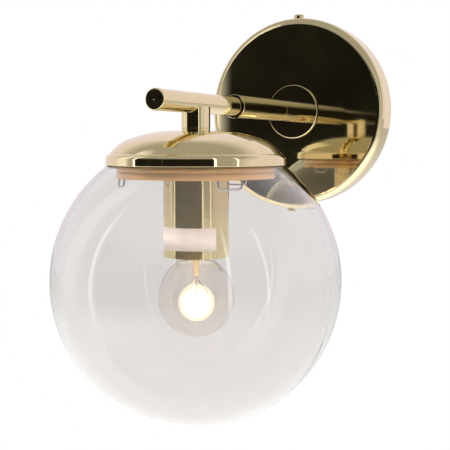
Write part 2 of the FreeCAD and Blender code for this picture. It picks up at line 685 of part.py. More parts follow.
def globe_glass():
    """Blown globe with a short fire-polished collar that stands inside the cap."""
    body = new_body("globe_glass", UPRIGHT, "stem_reach")
    bore = "(globe_radius - glass_wall)"
    mouth_level = f"({GLOBE} + sqrt({bore} ^ 2 - mouth_radius ^ 2))"
    lip = f"({COLLAR_TOP} - glass_wall / 2)"
    corners = (
        ("0", f"{GLOBE} - globe_radius"), ("globe_radius", GLOBE), (COLLAR, COLLAR_FOOT),
        (COLLAR, lip), ("mouth_radius + glass_wall / 2", COLLAR_TOP), ("mouth_radius", lip),
        ("mouth_radius", mouth_level), (bore, GLOBE), ("0", f"{GLOBE} - {bore}"),
    )
    bows = {0: "globe_radius", 1: "globe_radius", 3: "glass_wall / 2", 4: "glass_wall / 2",
            6: f"0 - {bore}", 7: f"0 - {bore}"}
    turned(body, corners, bows)
    return body


# ---------------------------------------------------------------- lampholder and bulb


def lampholder_cap():
    """Upper part of the lampholder: threaded entry, shoulder and skirt, hollow for the wires."""
    body = new_body("lampholder_cap", UPRIGHT, "stem_reach")
    inside = "(holder_radius - holder_wall)"
    neck_foot, shoulder = f"({HOLDER_TOP} - 5)", f"({HOLDER_TOP} - 12)"
    corners = (
        (BORE, HOLDER_TOP), (BORE, f"{neck_foot} - holder_wall"),
        (inside, f"{shoulder} - holder_wall"), (inside, HOLDER_SPLIT), ("holder_radius", HOLDER_SPLIT),
        ("holder_radius", shoulder), ("holder_neck", neck_foot), ("holder_neck", HOLDER_TOP),
    )
    turned(body, corners, {5: "9.5"})
    return body


def lampholder_body():
    """Lower part of the lampholder: contact floor, seat of the screw shell and flared mouth."""
    body = new_body("lampholder_body", UPRIGHT, "stem_reach")
    seat = "(shell_radius + shell_sheet + fit_gap)"
    mouth = f"({NECK_LEVEL} + holder_mouth)"
    corners = (
        ("2", HOLDER_SPLIT), ("2", FLOOR), (seat, FLOOR), (seat, f"{mouth} + 4"),
        ("holder_radius - 3", mouth), ("holder_radius", mouth), ("holder_radius", HOLDER_SPLIT),
    )
    turned(body, corners)
    return body


def lampholder_shell():
    """Screw shell of the lampholder."""
    body = new_body("lampholder_shell", UPRIGHT, "stem_reach")
    turned(body, tube_profile("shell_radius + shell_sheet", "shell_radius",
                              f"{CONTACT} - 0.5 - shell_length", f"{CONTACT} - 0.5"))
    return body


def lampholder_contact():
    """Sprung centre contact: a rivet through the floor and a bowed blade under it."""
    body = new_body("lampholder_contact", UPRIGHT, "stem_reach")
    turned(body, (("0", f"{FLOOR} - 0.2"), ("1.8", f"{FLOOR} - 0.2"), ("1.8", f"{HOLDER_SPLIT} + 1"),
                  ("0", f"{HOLDER_SPLIT} + 1")))
    blade = new_sketch(body, "blade", "XZ_Plane")
    tip = f"({CONTACT} + running_gap)"
    corners = (("0 - 5", FLOOR), ("0 - 5", f"{FLOOR} - 0.35"), ("0 - 2.4", f"{FLOOR} - 0.35"),
               ("0 - 1.2", tip), ("1.2", tip), ("2.4", FLOOR))
    pad(body, outline(blade, corners), "3.2", True)
    return body


def lampholder_terminals():
    """Two brass wire clamps on the lampholder's floor, one solid each."""
    body = new_body("lampholder_terminals", UPRIGHT, "stem_reach")
    body.AllowCompound = True
    blocks = new_sketch(body, "blocks", "XZ_Plane")
    for side in (-1, 1):
        near, far = f"{side} * (clamp_side - clamp_half)", f"{side} * (clamp_side + clamp_half)"
        top = f"{HOLDER_SPLIT} + clamp_height"
        outline(blocks, ((near, HOLDER_SPLIT), (far, HOLDER_SPLIT), (far, top), (near, top)))
    pad(body, blocks, "clamp_width", True)
    return body


def bulb_glass():
    """Clear golf ball bulb: half ball below, curve into a straight collar, rounded neck above."""
    body = new_body("bulb_glass", UPRIGHT, "stem_reach")
    middle = "(0 - bulb_equator)"
    throat = "(base_radius - 1)"
    throat_foot = f"({NECK_LEVEL} + 0.3)"
    throat_top = f"({NECK_LEVEL} + 5)"
    inside = "(bulb_radius - bulb_wall)"
    curve_axis = "(bulb_radius - bulb_shoulder)"
    inner_curve = "(bulb_shoulder - bulb_wall)"
    inner_collar = "(bulb_collar - bulb_wall)"
    collar_foot = f"{middle} + sqrt(bulb_shoulder ^ 2 - (bulb_collar - {curve_axis}) ^ 2)"
    inner_foot = f"{middle} + sqrt({inner_curve} ^ 2 - ({inner_collar} - {curve_axis}) ^ 2)"
    rounding = f"(bulb_collar - {NECK})"
    collar_top = f"({NECK_LEVEL} - {rounding})"
    corners = (
        ("0", f"{middle} - bulb_radius"), ("bulb_radius", middle), ("bulb_collar", collar_foot),
        ("bulb_collar", collar_top), (NECK, NECK_LEVEL), (throat, throat_foot), (throat, throat_top),
        (f"{throat} - bulb_wall", throat_top), (f"{throat} - bulb_wall", f"{throat_foot} - bulb_wall"),
        (NECK, f"{NECK_LEVEL} - bulb_wall"), (inner_collar, collar_top), (inner_collar, inner_foot),
        (inside, middle), ("0", f"{middle} - {inside}"),
    )
    bows = {
        0: "bulb_radius", 1: "bulb_shoulder", 3: rounding, 9: f"bulb_wall - {rounding}",
        11: f"0 - {inner_curve}", 12: f"0 - {inside}",
    }
    turned(body, corners, bows)
    return body


def bulb_base():
    """Screw shell of the bulb, narrowing to the insulator."""
    body = new_body("bulb_base", UPRIGHT, "stem_reach")
    foot = BASE_FOOT
    shoulder = f"({CONTACT} - 5)"
    corners = (
        ("base_radius - 0.9", foot), ("base_radius", foot), ("base_radius", shoulder),
        ("base_radius - 1.9", f"{shoulder} + 2.2"), ("base_radius - 2.3", f"{shoulder} + 2.2"),
        ("base_radius - 0.9", f"{shoulder} - 0.4"),
    )
    turned(body, corners)
    return body


def bulb_insulator():
    """Black glass ring between screw shell and contact."""
    body = new_body("bulb_insulator", UPRIGHT, "stem_reach")
    low = f"({CONTACT} - 2.8)"
    turned(body, (("0", low), ("base_radius - 1.9", low), ("base_radius - 3.6", f"{CONTACT} - 1"),
                  ("0", f"{CONTACT} - 1")))
    return body


def bulb_contact():
    """Solder dot in the middle of the base."""
    body = new_body("bulb_contact", UPRIGHT, "stem_reach")
    turned(body, (("0", f"{CONTACT} - 1"), ("2.2", f"{CONTACT} - 1"), ("0", CONTACT)),
           {1: "(2.2 ^ 2 + 1) / 2"})
    return body


def bulb_mount():
    """Glass mount inside the bulb: flare, rod and pressed end."""
    body = new_body("bulb_mount", UPRIGHT, "stem_reach")
    flare = f"({NECK_LEVEL} + 4)"
    end = "(0 - mount_foot)"
    wide = "(base_radius - 1.8)"
    corners = (("0", flare), (wide, flare), (wide, f"{flare} - 1.5"), ("mount_radius", f"{flare} - 10"),
               ("mount_radius", f"{end} + 1"), ("mount_radius - 1", end), ("0", end))
    turned(body, corners, {2: "16", 4: "1"})
    return body


# ---------------------------------------------------------------- bent wires


def route(points, bends):
    """Edges of straight runs joined by tangent arcs of the given radii at the inner points."""
    edges = []
    start = points[0]
    for before, corner, after, radius in zip(points, points[1:], points[2:], bends):
        toward = (corner - before).normalize()
        onward = (after - corner).normalize()
        half = toward.getAngle(onward) / 2
        setback = radius * math.tan(half)
        enter, leave = corner - toward * setback, corner + onward * setback
        inward = (onward - toward).normalize()
        crest = corner + inward * (radius / math.cos(half) - radius)
        if (enter - start).Length > 1e-6:
            edges.append(Part.LineSegment(start, enter).toShape())
        edges.append(Part.Arc(enter, crest, leave).toShape())
        start = leave
    edges.append(Part.LineSegment(start, points[-1]).toShape())
    return edges


def round_wire(edges, radius):
    """A round bar swept along joined edges."""
    path = Part.Wire(edges)
    first = edges[0]
    heading = first.tangentAt(first.FirstParameter)
    section = Part.Wire([Part.Circle(first.valueAt(first.FirstParameter), heading, radius).toShape()])
    solid = path.makePipeShell([section], True, False)
    expected = math.pi * radius ** 2 * path.Length
    if abs(solid.Volume - expected) > 0.03 * expected:
        raise RuntimeError(f"a bent wire has {solid.Volume:.2f} instead of {expected:.2f} cubic mm")
    return solid


def shape_part(name, shape, place=None):
    """A bent or wound piece as a feature of its own."""
    feature = doc.addObject("Part::Feature", name)
    feature.Label = name
    feature.Shape = shape
    feature.Placement = place or FreeCAD.Placement()
    return feature


def arm_wire(name, way, side):
    """Insulated wire from a way of the terminal block through the arm and stem to the lampholder."""
    block_foot = value("block_centre - block_height / 2")
    depth, reach = -value("way_depth"), -value("stem_reach")
    pair, way = side * value("wire_pair"), way * value("way_pitch")
    sweep, bend, clamp = value("wire_sweep"), value("wire_bend"), side * value("clamp_side")
    clamp_top = value(f"{HOLDER_SPLIT} + clamp_height")
    points = [
        Vector(way, depth, block_foot + value("wire_entry")), Vector(way, depth, block_foot - 0.7 * sweep),
        Vector(pair, depth, 1.2 * sweep), Vector(pair, depth, 0), Vector(pair, reach, 0),
        Vector(pair, reach, clamp_top + 9), Vector(clamp, reach, clamp_top + 4), Vector(clamp, reach, clamp_top),
    ]
    edges = route(points, [sweep, sweep, bend, bend, bend / 2, bend / 2])
    return shape_part(name, round_wire(edges, value("wire_radius")))


def earth_wire():
    """Insulated wire from the terminal block round the cable hole to the earth lug."""
    block_foot = value("block_centre - block_height / 2")
    depth, way, side = -value("way_depth"), value("way_pitch"), value("way_pitch + earth_side")
    lug = -value("bracket_sheet + wire_radius + lug_sheet")
    drop, bend = -value("earth_drop"), value("earth_bend")
    lug_end = value("2 * lug_radius + 1")
    points = [
        Vector(way, depth, block_foot + value("wire_entry")), Vector(way, depth, block_foot - bend / 4),
        Vector(side - 2, depth, bend), Vector(side, depth, -bend),
        Vector(side, lug, drop), Vector(lug_end - value("wire_entry"), lug, drop),
    ]
    edges = route(points, [0.6 * bend, bend, bend, 0.3 * bend])
    return shape_part("earth_wire", round_wire(edges, value("wire_radius")))


def spring_clips():
    """Three bent spring wires: two legs on the pan wall, bowed out through a window, and a loop."""
    wire, half = value("clip_wire"), value("clip_half")
    rim, foot = value(RIM), value(PAN_FOOT)
    wall = value("gallery_radius - gallery_sheet") - wire
    grip = value("mouth_radius - running_gap") - wire
    leg = math.sqrt((wall - 0.02) ** 2 - half ** 2)
    bow = math.sqrt(grip ** 2 - half ** 2)
    window = rim + value("window_foot + window_height / 2")
    loop = rim - value("clip_drop")
    side = [
        Vector(bow - 1.2, half, window + 3), Vector(bow, half, window + 0.3), Vector(leg, half, rim + 1.3),
        Vector(leg, half, foot + 0.5), Vector(leg + 0.6, half, loop),
    ]
    points = side + [Vector(point.x, -point.y, point.z) for point in reversed(side)]
    bends = [1.6, 2, 6, 2.4, 2.4, 6, 2, 1.6]
    one = round_wire(route(points, bends), wire)
    clips = []
    for number in range(3):
        clip = one.copy()
        clip.rotate(Vector(), Vector(0, 0, 1), value("clip_turn") - 90 + 120 * number)
        clips.append(clip)
    axis = FreeCAD.Placement(Vector(0, -value("stem_reach"), 0), FreeCAD.Rotation())
    return shape_part("spring_clips", Part.makeCompound(clips), axis)


def bulb_leads():
    """Two lead wires that hold the filament and two thin supports, one solid each."""
    radius, reach = value("lead_radius"), value("coil_arc")
    mount, level = -value("mount_foot"), -value("bulb_equator")
    low = level + value("coil_radius")
    wires = []
    for side in (-1, 1):
        points = [Vector(side * 1.1, 0, mount - radius), Vector(side * 1.1, 0, mount - 3),
                  Vector(side * reach, 0, low + 4), Vector(side * reach, 0, low + radius)]
        wires.append(round_wire(route(points, [1.5, 1.5]), radius))
        lean = Vector(side * reach * math.sin(math.radians(30)), -reach * math.cos(math.radians(30)), 0)
        points = [Vector(side * 0.5, -0.9, mount - radius), Vector(side * 0.5, -0.9, mount - 2),
                  Vector(lean.x, lean.y, low + 3), Vector(lean.x, lean.y, low + radius)]
        wires.append(round_wire(route(points, [1.2, 1.2]), radius * 0.6))
    axis = FreeCAD.Placement(Vector(0, -value("stem_reach"), 0), FreeCAD.Rotation())
    return shape_part("bulb_leads", Part.makeCompound(wires), axis)


def coil_point(turn, total, arc, coil):
    """Place and heading on a coil that winds about a half circle, at a fraction of its turns."""
    sweep, spin = math.pi * turn / total, 2 * math.pi * turn
    out = Vector(-math.cos(sweep), -math.sin(sweep), 0)
    along = Vector(math.sin(sweep), -math.cos(sweep), 0)
    up = Vector(0, 0, 1)
    place = out * (arc + coil * math.cos(spin)) + up * (coil * math.sin(spin))
    heading = along * ((arc + coil * math.cos(spin)) * math.pi / total)
    heading += (up * math.cos(spin) - out * math.sin(spin)) * (2 * math.pi * coil)
    return place, heading.normalize()


def biarc(start, heading, end, ending):
    """Two arcs from start to end that leave and arrive along the given headings."""
    span, both = end - start, heading + ending
    bend = 2 * (1 - heading.dot(ending))
    cross = span.dot(both)
    reach = (math.sqrt(cross ** 2 + bend * span.dot(span)) - cross) / bend
    middle = (start + heading * reach + end - ending * reach) / 2
    edges = []
    for base, tip, way in ((start, middle, heading), (end, middle, ending * -1)):
        chord = tip - base
        normal = way.cross(chord).cross(way).normalize()
        radius = chord.dot(chord) / (2 * chord.dot(normal))
        centre = base + normal * radius
        crest = centre + ((base + tip) / 2 - centre).normalize() * radius
        ends = (base, tip) if base is start else (tip, base)
        edges.append(Part.Arc(ends[0], crest, ends[1]).toShape())
    return edges


def bulb_filament():
    """Wound filament: one unbroken wire coiled along a half circle between the leads."""
    turns = max(2, round(value("coil_turns")))
    arc, coil, wire = value("coil_arc"), value("coil_radius"), value("coil_wire")
    stops = [coil_point(step / 4, turns, arc, coil) for step in range(4 * turns + 1)]
    edges = []
    for (start, heading), (end, ending) in zip(stops, stops[1:]):
        edges += biarc(start, heading, end, ending)
    least = min(
        (stops[first][0] - stops[second][0]).Length - 2 * wire
        for first in range(len(stops)) for second in range(first + 3, len(stops))
    )
    print(f"least gap of the filament to itself {least:.2f} mm")
    place = FreeCAD.Placement(Vector(0, -value("stem_reach"), -value("bulb_equator")), FreeCAD.Rotation())
    return shape_part("bulb_filament", round_wire(edges, wire), place)


def build():
    """Make every sub-part in the document."""
    fill_sheet()
    backplate_cover()
    wall_bracket()
    fixing_screw("fixing_screw_top", UPRIGHT)
    fixing_screw("fixing_screw_bottom", UPSIDE_DOWN)
    terminal_block()
    terminal_screws()
    earth_lug()
    earth_screw()
    arm_flange()
    arm_sleeve()
    arm_tube()
    arm_end_plug()
    arm_nipple()
    lock_washer("arm_washer", ALONG_ARM, "0", f"({FACE_BACK} - washer_height)")
    lock_nut("arm_nut", ALONG_ARM, "0", NUT_BACK)
    stem_saddle()
    stem_nipple()
    shade_cap()
    lock_washer("cap_washer", UPRIGHT, "stem_reach", NUT_TOP)
    lock_nut("cap_nut", UPRIGHT, "stem_reach", PAN_TOP)
    gallery_pan()
    spring_clips()
    holder_cup()
    lock_nut("cup_nut", UPRIGHT, "stem_reach", HOLDER_TOP)
    lampholder_cap()
    lampholder_body()
    lampholder_shell()
    lampholder_contact()
    lampholder_terminals()
    arm_wire("live_wire", -1, -1)
    arm_wire("neutral_wire", 0, 1)
    earth_wire()
    globe_glass()
    bulb_glass()
    bulb_base()
    bulb_insulator()
    bulb_contact()
    bulb_mount()
    bulb_leads()
    bulb_filament()
    doc.recompute()


def write_parts():
    """Check every object and write each sub-part's solids."""
    for thing in doc.Objects:
        if "Invalid" in thing.State or "Error" in thing.State:
            raise RuntimeError(f"{thing.Name} did not compute: {thing.State}")
    os.makedirs("parts", exist_ok=True)
    for thing in doc.Objects:
        if thing.TypeId not in ("PartDesign::Body", "Part::Feature"):
            continue
        shape = thing.Shape
        if shape.isNull() or not shape.isValid():
            raise RuntimeError(f"{thing.Label} has no valid shape")
        shape.exportStep(f"parts/{thing.Label}.step")
        print(f"{thing.Label:24s} {len(shape.Solids)} solid(s) {shape.Volume:12.2f} mm3")


build()
write_parts()
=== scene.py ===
"""Globe wall sconce with a polished brass arm and a clear glass globe, as a scene."""
import json
import math

import bmesh
import bpy
from mathutils import Matrix, Vector


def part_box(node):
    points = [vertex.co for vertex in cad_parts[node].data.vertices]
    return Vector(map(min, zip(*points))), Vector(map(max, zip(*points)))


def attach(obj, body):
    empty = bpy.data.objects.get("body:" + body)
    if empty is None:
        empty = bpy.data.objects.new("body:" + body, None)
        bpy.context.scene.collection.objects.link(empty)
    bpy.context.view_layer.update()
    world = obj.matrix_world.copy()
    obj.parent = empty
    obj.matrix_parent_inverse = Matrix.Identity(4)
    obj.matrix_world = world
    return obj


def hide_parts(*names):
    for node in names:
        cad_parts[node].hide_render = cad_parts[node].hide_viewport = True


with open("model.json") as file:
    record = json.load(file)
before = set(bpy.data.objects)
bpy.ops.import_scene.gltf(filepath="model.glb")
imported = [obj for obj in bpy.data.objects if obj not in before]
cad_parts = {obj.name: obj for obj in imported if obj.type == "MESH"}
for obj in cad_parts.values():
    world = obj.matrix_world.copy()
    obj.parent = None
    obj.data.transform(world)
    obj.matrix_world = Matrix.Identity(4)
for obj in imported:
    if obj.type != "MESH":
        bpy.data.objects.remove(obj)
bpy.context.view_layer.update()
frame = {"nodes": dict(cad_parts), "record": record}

bl_info = {
    "name": "Globe wall sconce",
    "version": (1, 0, 0),
    "blender": (4, 5, 0),
    "location": "3D View > Sidebar > Sconce",
    "description": "Builds the looks of a brass globe wall sconce on its packed frame",
    "category": "Add Mesh",
}

MM = 0.001
REACH = sum(corner.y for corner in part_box("globe_glass")) / 2
"""The stem's distance from the wall, as a place on the Y axis."""


# ---------------------------------------------------------------- small helpers


def linear(code):
    """A hex sRGB colour as linear RGBA."""
    parts = [int(code[at:at + 2], 16) / 255 for at in (1, 3, 5)]
    return tuple(p / 12.92 if p <= 0.04045 else ((p + 0.055) / 1.055) ** 2.4 for p in parts) + (1.0,)


def add_node(tree, kind, settings=None, **inputs):
    """A shader node with its settings and its inputs set or linked by name, spaces written as _."""
    node = tree.nodes.new(kind)
    for name, setting in (settings or {}).items():
        setattr(node, name, setting)
    for name, given in inputs.items():
        socket = node.inputs[name.replace("_", " ")]
        if isinstance(given, bpy.types.NodeSocket):
            tree.links.new(given, socket)
        else:
            socket.default_value = given
    return node


def calc(tree, operation, first, second=0.0):
    """The result of a math node on two values or sockets."""
    node = add_node(tree, "ShaderNodeMath", {"operation": operation})
    for socket, given in zip(node.inputs, (first, second)):
        if isinstance(given, bpy.types.NodeSocket):
            tree.links.new(given, socket)
        else:
            socket.default_value = given
    return node.outputs[0]


def blend(tree, share, first, second):
    """Two shaders mixed by a share of the second."""
    both = add_node(tree, "ShaderNodeMixShader", Fac=share)
    tree.links.new(first.outputs[0], both.inputs[1])
    tree.links.new(second.outputs[0], both.inputs[2])
    return both


def new_material(name):
    """An empty node material with its output."""
    material = bpy.data.materials.new(name)
    material.use_nodes = True
    tree = material.node_tree
    tree.nodes.clear()
    output = add_node(tree, "ShaderNodeOutputMaterial")
    return material, tree, output


def finish_surface(tree, output, shader):
    """Links the shader to the material's surface."""
    tree.links.new(shader.outputs[0], output.inputs["Surface"])


def noise(tree, size, detail=4.0, roughness=0.5, stretch=(1.0, 1.0, 1.0)):
    """Noise over the object's own coordinates, with forms of a size in mm."""
    place = add_node(tree, "ShaderNodeTexCoord")
    mapping = add_node(tree, "ShaderNodeMapping", Vector=place.outputs["Object"], Scale=stretch)
    return add_node(tree, "ShaderNodeTexNoise", Vector=mapping.outputs["Vector"], Scale=1 / (size * MM), Detail=detail,
                    Roughness=roughness)


def spread(tree, source, low, high, start=0.0, end=1.0):
    """A value between start and end carried to between low and high."""
    return add_node(tree, "ShaderNodeMapRange", Value=source, From_Min=start, From_Max=end, To_Min=low, To_Max=high)


def tint(tree, source, dark, light, start=0.3, end=0.7):
    """A colour between two, by a value."""
    ramp = add_node(tree, "ShaderNodeValToRGB", Fac=source)
    ramp.color_ramp.elements[0].position = start
    ramp.color_ramp.elements[1].position = end
    ramp.color_ramp.elements[0].color = dark
    ramp.color_ramp.elements[1].color = light
    return ramp


def shade(colour, factor):
    """A linear colour made darker or lighter."""
    return tuple(min(1.0, part * factor) for part in colour[:3]) + (1.0,)


# ---------------------------------------------------------------- materials


def polished_metal(name, colour, roughness, grain=0.25):
    """Mirror finish with faint cloudy wear in its gloss and a little wave from the spinning."""
    material, tree, output = new_material(name)
    clouds = noise(tree, 45.0, 6.0, 0.6)
    wipes = noise(tree, 4.0, 3.0, 0.5, (1.0, 1.0, 7.0))
    colour_ramp = tint(tree, clouds.outputs["Fac"], shade(colour, 0.95), shade(colour, 1.03))
    gloss = spread(tree, clouds.outputs["Fac"], roughness * 0.7, roughness * 1.6, 0.3, 0.7)
    bump = add_node(tree, "ShaderNodeBump", Strength=grain * 0.12, Distance=0.05 * MM, Height=wipes.outputs["Fac"])
    shader = add_node(tree, "ShaderNodeBsdfPrincipled", Base_Color=colour_ramp.outputs["Color"], Metallic=1.0,
                      Roughness=gloss.outputs["Result"], Normal=bump.outputs["Normal"])
    finish_surface(tree, output, shader)
    return material


def satin_metal(name, colour, bareness, dullest):
    """Lacquered sheet metal. Where it is less bare, the lacquer spreads the light of the bulb."""
    material, tree, output = new_material(name)
    clouds = noise(tree, 28.0, 5.0, 0.6)
    rings = noise(tree, 2.0, 2.0, 0.5, (0.05, 0.05, 1.0))
    colours = tint(tree, clouds.outputs["Fac"], shade(colour, 0.88), shade(colour, 1.05))
    gloss = spread(tree, clouds.outputs["Fac"], dullest * 0.6, dullest, 0.3, 0.7)
    bump = add_node(tree, "ShaderNodeBump", Strength=0.2, Distance=0.1 * MM, Height=rings.outputs["Fac"])
    shader = add_node(tree, "ShaderNodeBsdfPrincipled", Base_Color=colours.outputs["Color"], Metallic=bareness,
                      Roughness=gloss.outputs["Result"], Normal=bump.outputs["Normal"])
    finish_surface(tree, output, shader)
    return material


def clear_glass(name, colour, wave, deep, density, clearness):
    """Blown glass with a slight tint, a deeper colour where it is thick, thickness wave and a film of dust."""
    material, tree, output = new_material(name)
    waves = noise(tree, 33.0, 2.0, 0.4)
    bump = add_node(tree, "ShaderNodeBump", Strength=wave, Distance=0.2 * MM, Height=waves.outputs["Fac"])
    gloss = spread(tree, noise(tree, 17.0, 5.0, 0.6).outputs["Fac"], 0.0, 0.012, 0.45, 0.8)
    shader = add_node(tree, "ShaderNodeBsdfPrincipled", Base_Color=colour, Roughness=gloss.outputs["Result"],
                      Transmission_Weight=clearness, IOR=1.5, Normal=bump.outputs["Normal"])
    # Shadow rays pass, so that the lamps shine through the glass as they do through a real one.
    lets_light_by = add_node(tree, "ShaderNodeBsdfTransparent", Color=colour)
    rays = add_node(tree, "ShaderNodeLightPath")
    finish_surface(tree, output, blend(tree, rays.outputs["Is Shadow Ray"], shader, lets_light_by))
    inside = add_node(tree, "ShaderNodeVolumeAbsorption", Color=deep, Density=density)
    tree.links.new(inside.outputs[0], output.inputs["Volume"])
    return material


def moulded(name, colour, roughness):
    """Moulded plastic, pressed glass or extruded insulation with a fine skin."""
    material, tree, output = new_material(name)
    skin = noise(tree, 1.1, 3.0)
    clouds = noise(tree, 22.0, 4.0)
    colours = tint(tree, clouds.outputs["Fac"], shade(colour, 0.9), shade(colour, 1.08))
    bump = add_node(tree, "ShaderNodeBump", Strength=0.15, Distance=0.04 * MM, Height=skin.outputs["Fac"])
    gloss = spread(tree, clouds.outputs["Fac"], roughness * 0.85, roughness * 1.2, 0.3, 0.7)
    shader = add_node(tree, "ShaderNodeBsdfPrincipled", Base_Color=colours.outputs["Color"],
                      Roughness=gloss.outputs["Result"], Normal=bump.outputs["Normal"])
    finish_surface(tree, output, shader)
    return material


def striped_insulation(name, base, stripe):
    """Insulation of two colours. Along a straight wire a stripe comes every 14 mm."""
    material, tree, output = new_material(name)
    place = add_node(tree, "ShaderNodeTexCoord")
    wave = add_node(tree, "ShaderNodeTexWave", {"bands_direction": "DIAGONAL"}, Vector=place.outputs["Object"],
                    Scale=45.0, Distortion=0.4)
    colours = tint(tree, wave.outputs["Fac"], base, stripe, 0.48, 0.52)
    shader = add_node(tree, "ShaderNodeBsdfPrincipled", Base_Color=colours.outputs["Color"], Roughness=0.4)
    finish_surface(tree, output, shader)
    return material


def glowing(name, colour, strength):
    """Hot wire, a little unevenly bright."""
    material, tree, output = new_material(name)
    heat = spread(tree, noise(tree, 3.3).outputs["Fac"], strength * 0.8, strength * 1.2, 0.3, 0.7)
    shader = add_node(tree, "ShaderNodeBsdfPrincipled", Base_Color=colour, Roughness=0.5, Emission_Color=colour,
                      Emission_Strength=heat.outputs["Result"])
    finish_surface(tree, output, shader)
    return material


def background(name, colour):
    """Stage surface that the camera, mirrors and glass see as a plain colour."""
    material, tree, output = new_material(name)
    rays = add_node(tree, "ShaderNodeLightPath")
    seen = calc(tree, "MAXIMUM", rays.outputs["Is Camera Ray"], rays.outputs["Is Transmission Ray"])
    plain = add_node(tree, "ShaderNodeBsdfDiffuse", Color=colour)
    bright = add_node(tree, "ShaderNodeEmission", Color=colour, Strength=1.0)
    finish_surface(tree, output, blend(tree, seen, plain, bright))
    return material


def seen_in_mirrors(tree):
    """1 for rays that have met a mirror or a gloss on their way, else 0."""
    rays = add_node(tree, "ShaderNodeLightPath")
    return calc(tree, "GREATER_THAN", rays.outputs["Glossy Depth"], 0.5)


def card_material(name, colour, strength, edges, blotches=0.0):
    """A light panel or a dark card that fades out towards its edges, over a share of its width and height."""
    material, tree, output = new_material(name)
    clouds = noise(tree, 200.0, 4.0, 0.6)
    level = spread(tree, clouds.outputs["Fac"], strength * (1 - blotches), strength * (1 + blotches), 0.3, 0.7)
    shown = add_node(tree, "ShaderNodeEmission", Color=colour, Strength=level.outputs["Result"])
    hidden = add_node(tree, "ShaderNodeBsdfTransparent")
    place = add_node(tree, "ShaderNodeTexCoord")
    across = add_node(tree, "ShaderNodeSeparateXYZ", Vector=place.outputs["Generated"])
    share = seen_in_mirrors(tree)
    for side, edge in zip(("X", "Z"), edges):
        inward = calc(tree, "PINGPONG", across.outputs[side], 0.5)
        fade = add_node(tree, "ShaderNodeMapRange", {"interpolation_type": "SMOOTHSTEP"}, Value=inward,
                        From_Max=edge)
        share = calc(tree, "MULTIPLY", share, fade.outputs["Result"])
    finish_surface(tree, output, blend(tree, share, hidden, shown))
    return material


# ---------------------------------------------------------------- sizes and colours


class SconceColours(bpy.types.PropertyGroup):
    """Finishes that a user would change."""

    brass: bpy.props.FloatVectorProperty(
        name="Polished brass", description="Plating of cover, arm, cap and cup", subtype="COLOR", size=4,
        min=0, max=1, default=linear("#E7D9AE"))
    # Brass colour with painted light in it: warmer and lighter than the polished brass, standing in for the bulb's warm
    # glow on the gallery.
    gallery_brass_and_bulb_glow: bpy.props.FloatVectorProperty(
        name="Gallery brass", description="Pressed pan inside the globe's mouth", subtype="COLOR", size=4,
        min=0, max=1, default=linear("#F2C490"))
    glass: bpy.props.FloatVectorProperty(
        name="Globe glass", description="Tint of the globe", subtype="COLOR", size=4,
        min=0, max=1, default=linear("#F5F0F0"))
    light: bpy.props.FloatVectorProperty(
        name="Filament light", description="Colour of the hot filament", subtype="COLOR", size=4,
        min=0, max=1, default=linear("#FFE2B4"))


class SconceSizes(bpy.types.PropertyGroup):
    """Sizes of the pieces that the scene adds, those of the sticker read from the photo."""

    sticker_foot: bpy.props.FloatProperty(
        name="Sticker foot", description="Lower edge of the sticker", unit="LENGTH", default=-89.4 * MM)
    sticker_top: bpy.props.FloatProperty(
        name="Sticker top", description="Upper edge of the sticker", unit="LENGTH", default=-75.6 * MM)
    sticker_start: bpy.props.FloatProperty(
        name="Sticker start", description="Left end of the sticker, turned from the front towards the right",
        subtype="ANGLE", default=math.radians(-62.4))
    sticker_end: bpy.props.FloatProperty(
        name="Sticker end", description="Right end of the sticker", subtype="ANGLE", default=math.radians(65.6))
    film: bpy.props.FloatProperty(
        name="Film", description="Thickness of the sticker", unit="LENGTH", default=0.08 * MM)
    shell_wall: bpy.props.FloatProperty(
        name="Shell wall", description="Sheet of the bulb's screw shell", unit="LENGTH", default=0.3 * MM)
    thread_pitch: bpy.props.FloatProperty(
        name="Thread pitch", description="Rise of the bulb's thread in one turn", unit="LENGTH", default=2.82 * MM)
    thread_depth: bpy.props.FloatProperty(
        name="Thread depth", description="Depth of the rolled thread", unit="LENGTH", default=0.8 * MM)
    holder_shell_wall: bpy.props.FloatProperty(
        name="Holder shell wall", description="Sheet of the lampholder's screw shell", unit="LENGTH",
        default=0.4 * MM)
    holder_thread_depth: bpy.props.FloatProperty(
        name="Holder thread depth", description="Depth of the lampholder's rolled thread", unit="LENGTH",
        default=0.28 * MM)
    base_shoulder: bpy.props.FloatProperty(
        name="Base shoulder", description="Cone between the thread and the insulator", unit="LENGTH",
        default=2.2 * MM)
    cone_inset: bpy.props.FloatProperty(
        name="Cone inset", description="How far the cone draws in", unit="LENGTH", default=1.9 * MM)
    cone_wall: bpy.props.FloatProperty(
        name="Cone wall", description="Sheet of the cone where it meets the insulator", unit="LENGTH",
        default=0.4 * MM)
    hot_wire: bpy.props.FloatProperty(
        name="Hot wire", description="Radius of the glowing filament's wire", unit="LENGTH", default=0.26 * MM)
    coil_turns: bpy.props.IntProperty(name="Coil turns", description="Curls of the filament", default=20)


